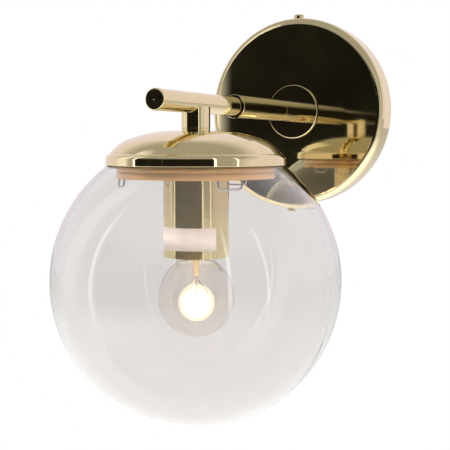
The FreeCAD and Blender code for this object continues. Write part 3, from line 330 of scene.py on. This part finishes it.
class SconceStage(bpy.types.PropertyGroup):
    """Camera and light."""

    lens: bpy.props.FloatProperty(
        name="Lens", description="Focal length on a 36 mm wide sensor", default=67.24, min=10)
    camera_place: bpy.props.FloatVectorProperty(
        name="Camera", description="Place of the camera", subtype="TRANSLATION", unit="LENGTH", size=3,
        default=(0.25716, -0.62531, -0.02611))
    camera_turn: bpy.props.FloatProperty(
        name="Turn", description="Camera's turn about the vertical", subtype="ANGLE", default=math.radians(27.625))
    camera_tilt: bpy.props.FloatProperty(
        name="Tilt", description="How far the camera looks down", subtype="ANGLE", default=math.radians(5.392))
    tent_turn: bpy.props.FloatProperty(
        name="Tent turn", description="Where the surround's darker part is, turned from the front to the right",
        subtype="ANGLE", default=math.radians(8))
    tent_lean: bpy.props.FloatProperty(
        name="Tent lean", description="Height of the middle of the surround's darker part", subtype="ANGLE",
        default=math.radians(38))
    bulb_light: bpy.props.FloatProperty(
        name="Bulb light", description="Power of the lit bulb", default=1.2, min=0)
    glare: bpy.props.FloatProperty(
        name="Glare", description="Power of the glare round the filament", default=0.04, min=0)
    glare_steps: bpy.props.IntProperty(
        name="Glare steps", description="Lamps that the glare fades out over", default=6, min=1, max=6)
    glare_drop: bpy.props.FloatProperty(
        name="Glare drop", description="Middle of the glare below the filament", unit="LENGTH", default=3 * MM)
    glare_radius: bpy.props.FloatProperty(
        name="Glare radius", description="Where the glare has faded out", unit="LENGTH", default=15.5 * MM)
    floor_drop: bpy.props.FloatProperty(
        name="Floor", description="Floor below the arm's axis", unit="LENGTH", default=0.55)


# ---------------------------------------------------------------- stage

WHITE = linear("#FFFFFF")
FLOOR_REACH = 6.0
TENT_COLOURS = linear("#F7ECF4"), linear("#B4B2AE")
TENT_FADE = 0.47, 0.66
"""Where the surround goes from its bright colour to its dark one, 0 behind the dark part and 1 in its middle."""
DARK_CARDS = (("dark_card_left", -30, 0.62), ("dark_card_middle", 8, 0.62), ("dark_card_right", 38, 0.5))
"""Name, azimuth in degrees from the front towards the right, and width in metres."""
DARK_CARD_DISTANCE, DARK_CARD_HEIGHT = 0.85, 1.0
DARK_CARD_FADE, LIGHT_PANEL_FADE, LIGHT_STRIP_FADE = (0.05, 0.3), (0.3, 0.3), (0.35, 0.35)
"""Share of the width and of the height over which a card fades out."""
LIGHT_CARDS = (("light_panel_left", -66, 0.26, 0.12), ("light_strip_left", -48, 0.4, 0.022),
               ("light_strip_right", 52, 0.46, 0.03), ("light_strip_side", 80, 0.5, 0.022))
"""Name, azimuth in degrees, distance and width in metres of the panels whose images stand in brass and glass."""
LIGHT_CARD_HEIGHT, LIGHT_CARD_RISE = 0.8, 0.03
AREA_LAMPS = (("key", (-0.9, -0.7, 0.9), 30), ("fill", (0.9, -0.4, 0.5), 12))
"""Name, place in metres and power in watts."""
AREA_LAMP_SIDE, AREA_LAMP_AIM = 0.8, -0.05
FILAMENT_LAMP_RADIUS = 4 * MM


def card(name, centre, width, height, material):
    """A flat upright panel that faces the stem's axis and that only mirrors and glass show."""
    mesh = bpy.data.meshes.new(name)
    half, rise = width / 2, height / 2
    mesh.from_pydata([(-half, 0, -rise), (half, 0, -rise), (half, 0, rise), (-half, 0, rise)], [], [(0, 1, 2, 3)])
    panel = bpy.data.objects.new(name, mesh)
    away = Vector((0, REACH, 0)) - centre
    turn = math.atan2(away.x, -away.y)
    panel.matrix_world = Matrix.Translation(centre) @ Matrix.Rotation(turn, 4, "Z")
    bpy.context.scene.collection.objects.link(panel)
    mesh.materials.append(material)
    panel.visible_camera = False
    panel.visible_shadow = False
    panel.visible_diffuse = False


def about_stem(azimuth, distance):
    """A place at an azimuth in degrees about the stem's axis."""
    turn = math.radians(azimuth)
    return Vector((0, REACH, 0)) + Vector((math.sin(turn), -math.cos(turn), 0)) * distance


class SCONCE_OT_stage(bpy.types.Operator):
    """Camera, floor, white surround, lamps, and the light and dark cards that brass and glass mirror"""

    bl_idname = "sconce.stage"
    bl_label = "Stage"

    def execute(self, context):
        scene = context.scene
        stage = scene.sconce_stage
        scene.view_settings.view_transform = "Standard"
        self.place_camera(scene, stage)
        self.lay_floor(scene, stage)
        self.surround(scene, stage)
        self.put_up_cards()
        self.hang_lamps(scene)
        self.light_bulb(scene, stage, tuple(scene.sconce_colours.light))
        return {"FINISHED"}

    def place_camera(self, scene, stage):
        """The photo's camera"""
        lens = bpy.data.cameras.new("camera")
        lens.lens = stage.lens
        lens.sensor_width = 36
        camera = bpy.data.objects.new("camera", lens)
        camera.location = stage.camera_place
        camera.rotation_euler = (math.radians(90) - stage.camera_tilt, 0, stage.camera_turn)
        scene.collection.objects.link(camera)
        scene.camera = camera

    def lay_floor(self, scene, stage):
        """A white floor well below the lamp"""
        mesh = bpy.data.meshes.new("floor")
        side = FLOOR_REACH
        mesh.from_pydata([(-side, -side, 0), (side, -side, 0), (side, side, 0), (-side, side, 0)], [], [(0, 1, 2, 3)])
        floor = bpy.data.objects.new("floor", mesh)
        floor.location.z = -stage.floor_drop
        mesh.materials.append(background("pale_floor", WHITE))
        scene.collection.objects.link(floor)

    def surround(self, scene, stage):
        """A white surround for the camera, and for mirrors a tent that is darker in front and above"""
        world = bpy.data.worlds.new("white_surround")
        scene.world = world
        world.use_nodes = True
        tree = world.node_tree
        tree.nodes.clear()
        output = add_node(tree, "ShaderNodeOutputWorld")
        rays = add_node(tree, "ShaderNodeLightPath")
        seen = calc(tree, "MAXIMUM", rays.outputs["Is Camera Ray"], rays.outputs["Is Transmission Ray"])
        plain = calc(tree, "MAXIMUM", calc(tree, "SUBTRACT", seen, seen_in_mirrors(tree)), 0.0)
        place = add_node(tree, "ShaderNodeTexCoord")
        front = add_node(tree, "ShaderNodeVectorMath", {"operation": "DOT_PRODUCT"})
        tree.links.new(place.outputs["Generated"], front.inputs[0])
        turn, lean = stage.tent_turn, stage.tent_lean
        front.inputs[1].default_value = (
            math.sin(turn) * math.cos(lean), -math.cos(turn) * math.cos(lean), math.sin(lean))
        toward = spread(tree, front.outputs["Value"], 0.0, 1.0, -1.0, 1.0)
        tent = tint(tree, toward.outputs["Result"], *TENT_COLOURS, *TENT_FADE)
        # Sockets 6, 7 and output 2 of a mix node are its colours.
        surround = add_node(tree, "ShaderNodeMix", {"data_type": "RGBA"})
        tree.links.new(plain, surround.inputs[0])
        tree.links.new(tent.outputs["Color"], surround.inputs[6])
        surround.inputs[7].default_value = WHITE
        shader = add_node(tree, "ShaderNodeBackground", Color=surround.outputs[2], Strength=1.0)
        tree.links.new(shader.outputs[0], output.inputs["Surface"])

    def put_up_cards(self):
        """Dark cards, which give the cover its black face, and light ones, which give the stripes"""
        dark = card_material("dark_card", linear("#FFF4DC"), 0.014, DARK_CARD_FADE, 0.6)
        for name, azimuth, width in DARK_CARDS:
            card(name, about_stem(azimuth, DARK_CARD_DISTANCE), width, DARK_CARD_HEIGHT, dark)
        panel = card_material("light_panel_wide", WHITE, 1.1, LIGHT_PANEL_FADE)
        strip = card_material("light_strip", WHITE, 3.0, LIGHT_STRIP_FADE)
        for name, azimuth, distance, width in LIGHT_CARDS:
            finish = panel if name.startswith("light_panel") else strip
            centre = about_stem(azimuth, distance) + Vector((0, 0, LIGHT_CARD_RISE))
            card(name, centre, width, LIGHT_CARD_HEIGHT, finish)

    def hang_lamps(self, scene):
        """Soft lamps for what isn't a mirror"""
        for name, place, power in AREA_LAMPS:
            lamp = bpy.data.lights.new(name, "AREA")
            lamp.energy = power
            lamp.size = AREA_LAMP_SIDE
            holder = bpy.data.objects.new(name, lamp)
            holder.location = place
            aim = Vector((0, REACH, AREA_LAMP_AIM)) - holder.location
            holder.rotation_euler = aim.to_track_quat("-Z", "Y").to_euler()
            holder.visible_camera = False
            holder.visible_transmission = False
            holder.visible_glossy = False
            scene.collection.objects.link(holder)

    def light_bulb(self, scene, stage, colour):
        """The filament's light, which pieces show but the camera doesn't, and faint lamps for the glare round it"""
        low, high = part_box("bulb_filament")
        middle = Vector(((low.x + high.x) / 2, REACH, (low.z + high.z) / 2))
        source = self.ball_lamp(scene, "filament_light", stage.bulb_light, FILAMENT_LAMP_RADIUS, colour, middle)
        source.visible_camera = False
        source.visible_transmission = False
        for step in range(1, stage.glare_steps + 1):
            share = step / (stage.glare_steps + 1)
            power = stage.glare * share ** 2 * (1 - share)
            glare = self.ball_lamp(scene, "filament_glare", power, stage.glare_radius * share, colour,
                                   middle - Vector((0, 0, stage.glare_drop)))
            glare.visible_glossy = False

    def ball_lamp(self, scene, name, power, radius, colour, place):
        """A round lamp"""
        lamp = bpy.data.lights.new(name, "POINT")
        lamp.energy = power
        lamp.color = colour[:3]
        lamp.shadow_soft_size = radius
        holder = bpy.data.objects.new(name, lamp)
        holder.location = place
        scene.collection.objects.link(holder)
        return holder


# ---------------------------------------------------------------- finishes of the carried-over pieces


class SCONCE_OT_finishes(bpy.types.Operator):
    """Materials of the pieces that keep their own shape"""

    bl_idname = "sconce.finishes"
    bl_label = "Finishes"

    def execute(self, context):
        colours = context.scene.sconce_colours
        finishes = {
            # Brass-plated steel, buffed and lacquered: a pale gold mirror. Clouds of wear about 45 mm wide. The buffing
            # lines, 0.05 mm apart, are too fine to show and are drawn 4 mm wide.
            "polished_brass": polished_metal("polished_brass", tuple(colours.brass), 0.035),
            # Brass-plated drawn tube, less finely buffed and lacquered: long soft-edged stripes. Clouds 28 mm wide, and
            # drawing lines of 0.1 mm drawn 2 mm wide, being too fine to show.
            "satin_brass": satin_metal("cup_brass", tuple(colours.brass), 0.88, 0.12),
            # Zinc-plated pressed steel, as it leaves the bath: grey, cloudy, half glossy
            "zinc_plated_steel": polished_metal("zinc_plated_steel", linear("#C4C5C8"), 0.24, 0.8),
            # Free-cutting brass, turned: yellow, with turning lines of 0.1 mm drawn 4 mm wide
            "brass_hardware": polished_metal("turned_brass", linear("#D9BC7C"), 0.2, 0.8),
            # Spring steel wire, drawn and nickel plated: a bright thin line
            "spring_steel": polished_metal("spring_steel", linear("#D8D8DA"), 0.1),
            # White polyamide, injection moulded: soft gloss. Its skin of 0.05 mm grain is drawn at 1.1 mm, as on all
            # moulded pieces.
            "block_plastic": moulded("white_polyamide", linear("#EDECE6"), 0.4),
            # Black polyester, injection moulded: dull black
            "holder_plastic": moulded("black_moulded_plastic", linear("#2A2A2A"), 0.35),
            # PVC insulation, extruded over the wire: plain colour, soft gloss
            "live_insulation": moulded("brown_insulation", linear("#7A4A28"), 0.35),
            "neutral_insulation": moulded("blue_insulation", linear("#3B62A8"), 0.35),
            "earth_insulation": striped_insulation("green_yellow_insulation", linear("#3F8B3A"), linear("#E6CF35")),
            # Soda-lime glass, blown and fire polished: clear, greenish where thick, waves of 33 mm from the blowing and
            # a film of dust in patches of 17 mm
            "globe_glass": clear_glass("globe_glass", tuple(colours.glass), 0.05, linear("#BFE3D0"), 40.0, 1.0),
            # Soda-lime glass, blown by machine: thin, clear, nearly without waves
            "bulb_glass": clear_glass("bulb_glass", linear("#FBFAF7"), 0.02, linear("#E8EEEA"), 20.0, 1.0),
            # Nickel-plated brass sheet, thread rolled: a warm grey mirror
            "nickel_base": polished_metal("nickel_plate", linear("#D6D3CC"), 0.14),
            # Black insulating glass, pressed while hot: deep black and glossy
            "black_insulator": moulded("black_glass", linear("#15151A"), 0.12),
            # Tin solder, set where it was melted: dull silver
            "solder": polished_metal("solder", linear("#C9C9C9"), 0.35, 1.0),
            # Nickel-iron wire, drawn: dull grey
            "lead_wire": polished_metal("lead_wire", linear("#B9B4AC"), 0.25),
            # Tungsten wire, drawn and coiled, white hot: it shines a little unevenly, over 3.3 mm
            "lit_filament": glowing("lit_filament", tuple(colours.light), 160.0),
        }
        for part in frame["record"]["subparts"]:
            piece = frame["nodes"][part["node"]]
            piece.data.materials.clear()
            piece.data.materials.append(finishes[part["material_slot"]])
        # Lead glass, pinched flat while soft: thick and wavy, and it scatters the filament's light
        mount = frame["nodes"]["bulb_mount"]
        mount.data.materials[0] = clear_glass("pressed_mount_glass", linear("#FFFBF2"), 0.3, linear("#E8EEEA"), 20.0,
                                              0.4)
        # Brass-plated steel, pressed and lacquered: satin, lit from below by the bulb's lamp. Its colour is partly the
        # brass and partly painted light: warmer and lighter than the other brass, standing in for the bulb's warm glow.
        pan = frame["nodes"]["gallery_pan"]
        pan.data.materials[0] = satin_metal("gallery_brass_painted_glow", tuple(colours.gallery_brass_and_bulb_glow), 0.36, 0.42)
        return {"FINISHED"}


# ---------------------------------------------------------------- pieces of their own

STICKER_STEPS = 48
STICKER_LIFT = 0.04 * MM
"""Room for the glue between the cup and the film."""
THREAD_ROWS = 10
"""Rows of faces in one turn of a rolled thread."""
COIL_POINTS, WIRE_SIDES = 24, 8
"""Points in one curl of the filament, and sides of its wire."""


def mesh_of(name, shape):
    """The finished mesh of a bmesh, its normals outward."""
    bmesh.ops.recalc_face_normals(shape, faces=shape.faces[:])
    mesh = bpy.data.meshes.new(name)
    shape.to_mesh(mesh)
    shape.free()
    return mesh


def link_piece(name, mesh, material, body):
    """An object of the mesh that rides a body."""
    piece = bpy.data.objects.new(name, mesh)
    mesh.materials.clear()
    mesh.materials.append(material)
    bpy.context.scene.collection.objects.link(piece)
    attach(piece, body)
    return piece


def frosted_film(name):
    """Self-adhesive polyester film, cast matt: milky white, blank, with clouds of 6 mm."""
    material, tree, output = new_material(name)
    clouds = noise(tree, 6.0, 4.0)
    colours = tint(tree, clouds.outputs["Fac"], linear("#F6F1ED"), linear("#FFFBF8"))
    shader = add_node(tree, "ShaderNodeBsdfPrincipled", Base_Color=colours.outputs["Color"], Roughness=0.32,
                      Alpha=0.94)
    finish_surface(tree, output, shader)
    return material


class SCONCE_OT_sticker(bpy.types.Operator):
    """Bare film stuck round the front of the holder cup"""

    bl_idname = "sconce.sticker"
    bl_label = "Blank sticker"

    def execute(self, context):
        sizes = context.scene.sconce_sizes
        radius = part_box("holder_cup")[1].x
        start, end = sizes.sticker_start, sizes.sticker_end
        film = bmesh.new()
        rings = []
        for lift in (STICKER_LIFT, sizes.film + STICKER_LIFT):
            for level in (sizes.sticker_foot, sizes.sticker_top):
                row = []
                for step in range(STICKER_STEPS + 1):
                    turn = start + (end - start) * step / STICKER_STEPS
                    reach = radius + lift
                    row.append(film.verts.new((reach * math.sin(turn), REACH - reach * math.cos(turn), level)))
                rings.append(row)
        inner_foot, inner_top, outer_foot, outer_top = rings
        for low, high in ((outer_foot, outer_top), (inner_top, inner_foot), (inner_foot, outer_foot),
                          (outer_top, inner_top)):
            for step in range(STICKER_STEPS):
                face = film.faces.new((low[step], low[step + 1], high[step + 1], high[step]))
                face.smooth = True
        for end_ring in (0, STICKER_STEPS):
            film.faces.new((inner_foot[end_ring], outer_foot[end_ring], outer_top[end_ring], inner_top[end_ring]))
        link_piece("cup_sticker", mesh_of("cup_sticker", film), frosted_film("blank_film"), "wall_lamp")
        return {"FINISHED"}


def lathe(name, outline, steps=128):
    """A mesh turned about the stem's axis from (radius, level) points, closed where the outline is."""
    shape = bmesh.new()
    rings = []
    for radius, level in outline:
        ring = []
        for step in range(steps):
            turn = 2 * math.pi * step / steps
            ring.append(shape.verts.new((radius * math.cos(turn), REACH + radius * math.sin(turn), level)))
        rings.append(ring)
    for low, high in zip(rings, rings[1:] + rings[:1]):
        for step in range(steps):
            after = (step + 1) % steps
            shape.faces.new((low[step], low[after], high[after], high[step])).smooth = True
    return mesh_of(name, shape)


def threaded_shell(name, radius, wall, low, high, pitch, depth, steps=96):
    """Rolled screw shell: a sheet whose rounded thread climbs round the stem's axis."""
    shape = bmesh.new()
    rows = int((high - low) / (pitch / THREAD_ROWS))
    skins = []
    for inward in (0.0, wall):
        skin = []
        for row in range(rows + 1):
            level = low + (high - low) * row / rows
            ease = min(1.0, (level - low) / pitch, (high - level) / pitch)
            ring = []
            for step in range(steps):
                turn = 2 * math.pi * step / steps
                wave = (1 - math.cos(2 * math.pi * (level / pitch - step / steps))) / 2
                reach = radius - inward - depth * ease * wave
                ring.append(shape.verts.new((reach * math.cos(turn), REACH + reach * math.sin(turn), level)))
            skin.append(ring)
        skins.append(skin)
    outer, inner = skins
    loops = outer + inner[::-1]
    for low_ring, high_ring in zip(loops, loops[1:] + loops[:1]):
        for step in range(steps):
            after = (step + 1) % steps
            face = shape.faces.new((low_ring[step], low_ring[after], high_ring[after], high_ring[step]))
            face.smooth = True
    return mesh_of(name, shape)


class SCONCE_OT_screw_shell(bpy.types.Operator):
    """Rolled E14 thread of the bulb's base, over the plain shell"""

    bl_idname = "sconce.screw_shell"
    bl_label = "Bulb's screw shell"

    def execute(self, context):
        sizes = context.scene.sconce_sizes
        low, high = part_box("bulb_base")
        thread_top = high.z - sizes.base_shoulder
        mesh = threaded_shell("bulb_screw_shell", high.x, sizes.shell_wall, low.z, thread_top, sizes.thread_pitch,
                              sizes.thread_depth)
        finish = frame["nodes"]["bulb_base"].data.materials[0]
        shell = link_piece("bulb_screw_shell", mesh, finish, "bulb")
        cone = lathe("bulb_base_shoulder", (
            (high.x, thread_top), (high.x - sizes.cone_inset, high.z),
            (high.x - sizes.cone_inset - sizes.cone_wall, high.z),
            (high.x - sizes.shell_wall, thread_top),
        ))
        shoulder = link_piece("bulb_base_shoulder", cone, finish, "bulb")
        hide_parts("bulb_base")
        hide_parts("bulb_base")
        return {"FINISHED"}


class SCONCE_OT_holder_shell(bpy.types.Operator):
    """Shallow rolled thread of the lampholder, over its plain shell"""

    bl_idname = "sconce.holder_shell"
    bl_label = "Lampholder's screw shell"

    def execute(self, context):
        sizes = context.scene.sconce_sizes
        low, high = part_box("lampholder_shell")
        mesh = threaded_shell("lampholder_screw_shell", high.x, sizes.holder_shell_wall, low.z, high.z,
                              sizes.thread_pitch, sizes.holder_thread_depth)
        finish = frame["nodes"]["lampholder_shell"].data.materials[0]
        shell = link_piece("lampholder_screw_shell", mesh, finish, "wall_lamp")
        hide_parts("lampholder_shell")
        return {"FINISHED"}


def wound_wire(name, lengths, turns, finish):
    """A mesh of a wire coiled round a half circle about the origin, wound with Geometry Nodes."""
    tree = bpy.data.node_groups.new(name, "GeometryNodeTree")
    tree.interface.new_socket("Geometry", in_out="OUTPUT", socket_type="NodeSocketGeometry")
    given = {**lengths, "Turns": turns, "Finish": finish}
    kinds = {label: "NodeSocketFloat" for label in lengths} | {"Turns": "NodeSocketInt",
                                                              "Finish": "NodeSocketMaterial"}
    sockets = {label: tree.interface.new_socket(label, in_out="INPUT", socket_type=kind)
               for label, kind in kinds.items()}
    values = add_node(tree, "NodeGroupInput").outputs
    along = add_node(tree, "GeometryNodeSplineParameter").outputs["Factor"]
    sweep = calc(tree, "MULTIPLY", along, math.pi)
    spin = calc(tree, "MULTIPLY", calc(tree, "MULTIPLY", along, values["Turns"]), 2 * math.pi)
    reach = calc(tree, "ADD", values["Arc radius"],
                 calc(tree, "MULTIPLY", values["Coil radius"], calc(tree, "COSINE", spin)))
    backwards = calc(tree, "MULTIPLY", reach, -1.0)
    place = add_node(tree, "ShaderNodeCombineXYZ", X=calc(tree, "MULTIPLY", backwards, calc(tree, "COSINE", sweep)),
                     Y=calc(tree, "MULTIPLY", backwards, calc(tree, "SINE", sweep)),
                     Z=calc(tree, "MULTIPLY", values["Coil radius"], calc(tree, "SINE", spin)))
    line = add_node(tree, "GeometryNodeCurvePrimitiveLine")
    points = add_node(tree, "GeometryNodeResampleCurve", Curve=line.outputs["Curve"],
                      Count=calc(tree, "MULTIPLY", values["Turns"], COIL_POINTS))
    path = add_node(tree, "GeometryNodeSetPosition", Geometry=points.outputs["Curve"], Position=place.outputs[0])
    section = add_node(tree, "GeometryNodeCurvePrimitiveCircle", Resolution=WIRE_SIDES,
                       Radius=values["Wire radius"])
    wire = add_node(tree, "GeometryNodeCurveToMesh", Curve=path.outputs["Geometry"],
                    Profile_Curve=section.outputs["Curve"], Fill_Caps=True)
    real = add_node(tree, "GeometryNodeRealizeInstances", Geometry=wire.outputs["Mesh"])
    done = add_node(tree, "GeometryNodeSetMaterial", Geometry=real.outputs["Geometry"], Material=values["Finish"])
    add_node(tree, "NodeGroupOutput", Geometry=done.outputs["Geometry"])

    source = bpy.data.objects.new(name, bpy.data.meshes.new(name))
    bpy.context.scene.collection.objects.link(source)
    modifier = source.modifiers.new(name, "NODES")
    modifier.node_group = tree
    for label, value in given.items():
        modifier[sockets[label].identifier] = value
    evaluated = source.evaluated_get(bpy.context.evaluated_depsgraph_get())
    mesh = bpy.data.meshes.new_from_object(evaluated)
    source.modifiers.remove(modifier)
    bpy.data.objects.remove(source)
    return mesh


class SCONCE_OT_filament(bpy.types.Operator):
    """Hot coil wound with Geometry Nodes round the half circle between the leads"""

    bl_idname = "sconce.filament"
    bl_label = "Filament"

    def execute(self, context):
        sizes = context.scene.sconce_sizes
        low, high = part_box("bulb_filament")
        coil = (high.z - low.z) / 2 - sizes.hot_wire
        arc = (high.x - low.x) / 2 - coil - sizes.hot_wire
        finish = frame["nodes"]["bulb_filament"].data.materials[0]
        mesh = wound_wire("hot_filament", {"Arc radius": arc, "Coil radius": coil, "Wire radius": sizes.hot_wire},
                          sizes.coil_turns, finish)
        mesh.transform(Matrix.Translation(((low.x + high.x) / 2, REACH, (low.z + high.z) / 2)))
        hot = link_piece("hot_filament", mesh, finish, "bulb")
        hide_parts("bulb_filament")
        return {"FINISHED"}


# ---------------------------------------------------------------- panel and registration


class SCONCE_PT_panel(bpy.types.Panel):
    """Sizes, colours and pieces of the sconce"""

    bl_label = "Globe wall sconce"
    bl_idname = "SCONCE_PT_panel"
    bl_space_type = "VIEW_3D"
    bl_region_type = "UI"
    bl_category = "Sconce"

    def draw(self, context):
        column = self.layout.column()
        for group in (getattr(context.scene, name) for name in GROUPS):
            for name in group.bl_rna.properties.keys():
                if name not in ("rna_type", "name"):
                    column.prop(group, name)
        for piece in PIECES:
            column.operator(piece.bl_idname)


PIECES = (SCONCE_OT_stage, SCONCE_OT_finishes, SCONCE_OT_sticker, SCONCE_OT_screw_shell,
          SCONCE_OT_holder_shell, SCONCE_OT_filament)
GROUPS = {"sconce_sizes": SconceSizes, "sconce_colours": SconceColours, "sconce_stage": SconceStage}


def register():
    for name, group in GROUPS.items():
        bpy.utils.register_class(group)
        setattr(bpy.types.Scene, name, bpy.props.PointerProperty(type=group))
    for piece in (*PIECES, SCONCE_PT_panel):
        bpy.utils.register_class(piece)


def unregister():
    for piece in (SCONCE_PT_panel, *reversed(PIECES)):
        bpy.utils.unregister_class(piece)
    for name, group in reversed(GROUPS.items()):
        delattr(bpy.types.Scene, name)
        bpy.utils.unregister_class(group)


def main():
    """Registers the add-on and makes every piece."""
    register()
    for piece in PIECES:
        family, name = piece.bl_idname.split(".")
        getattr(getattr(bpy.ops, family), name)()


if __name__ == "__main__":
    main()
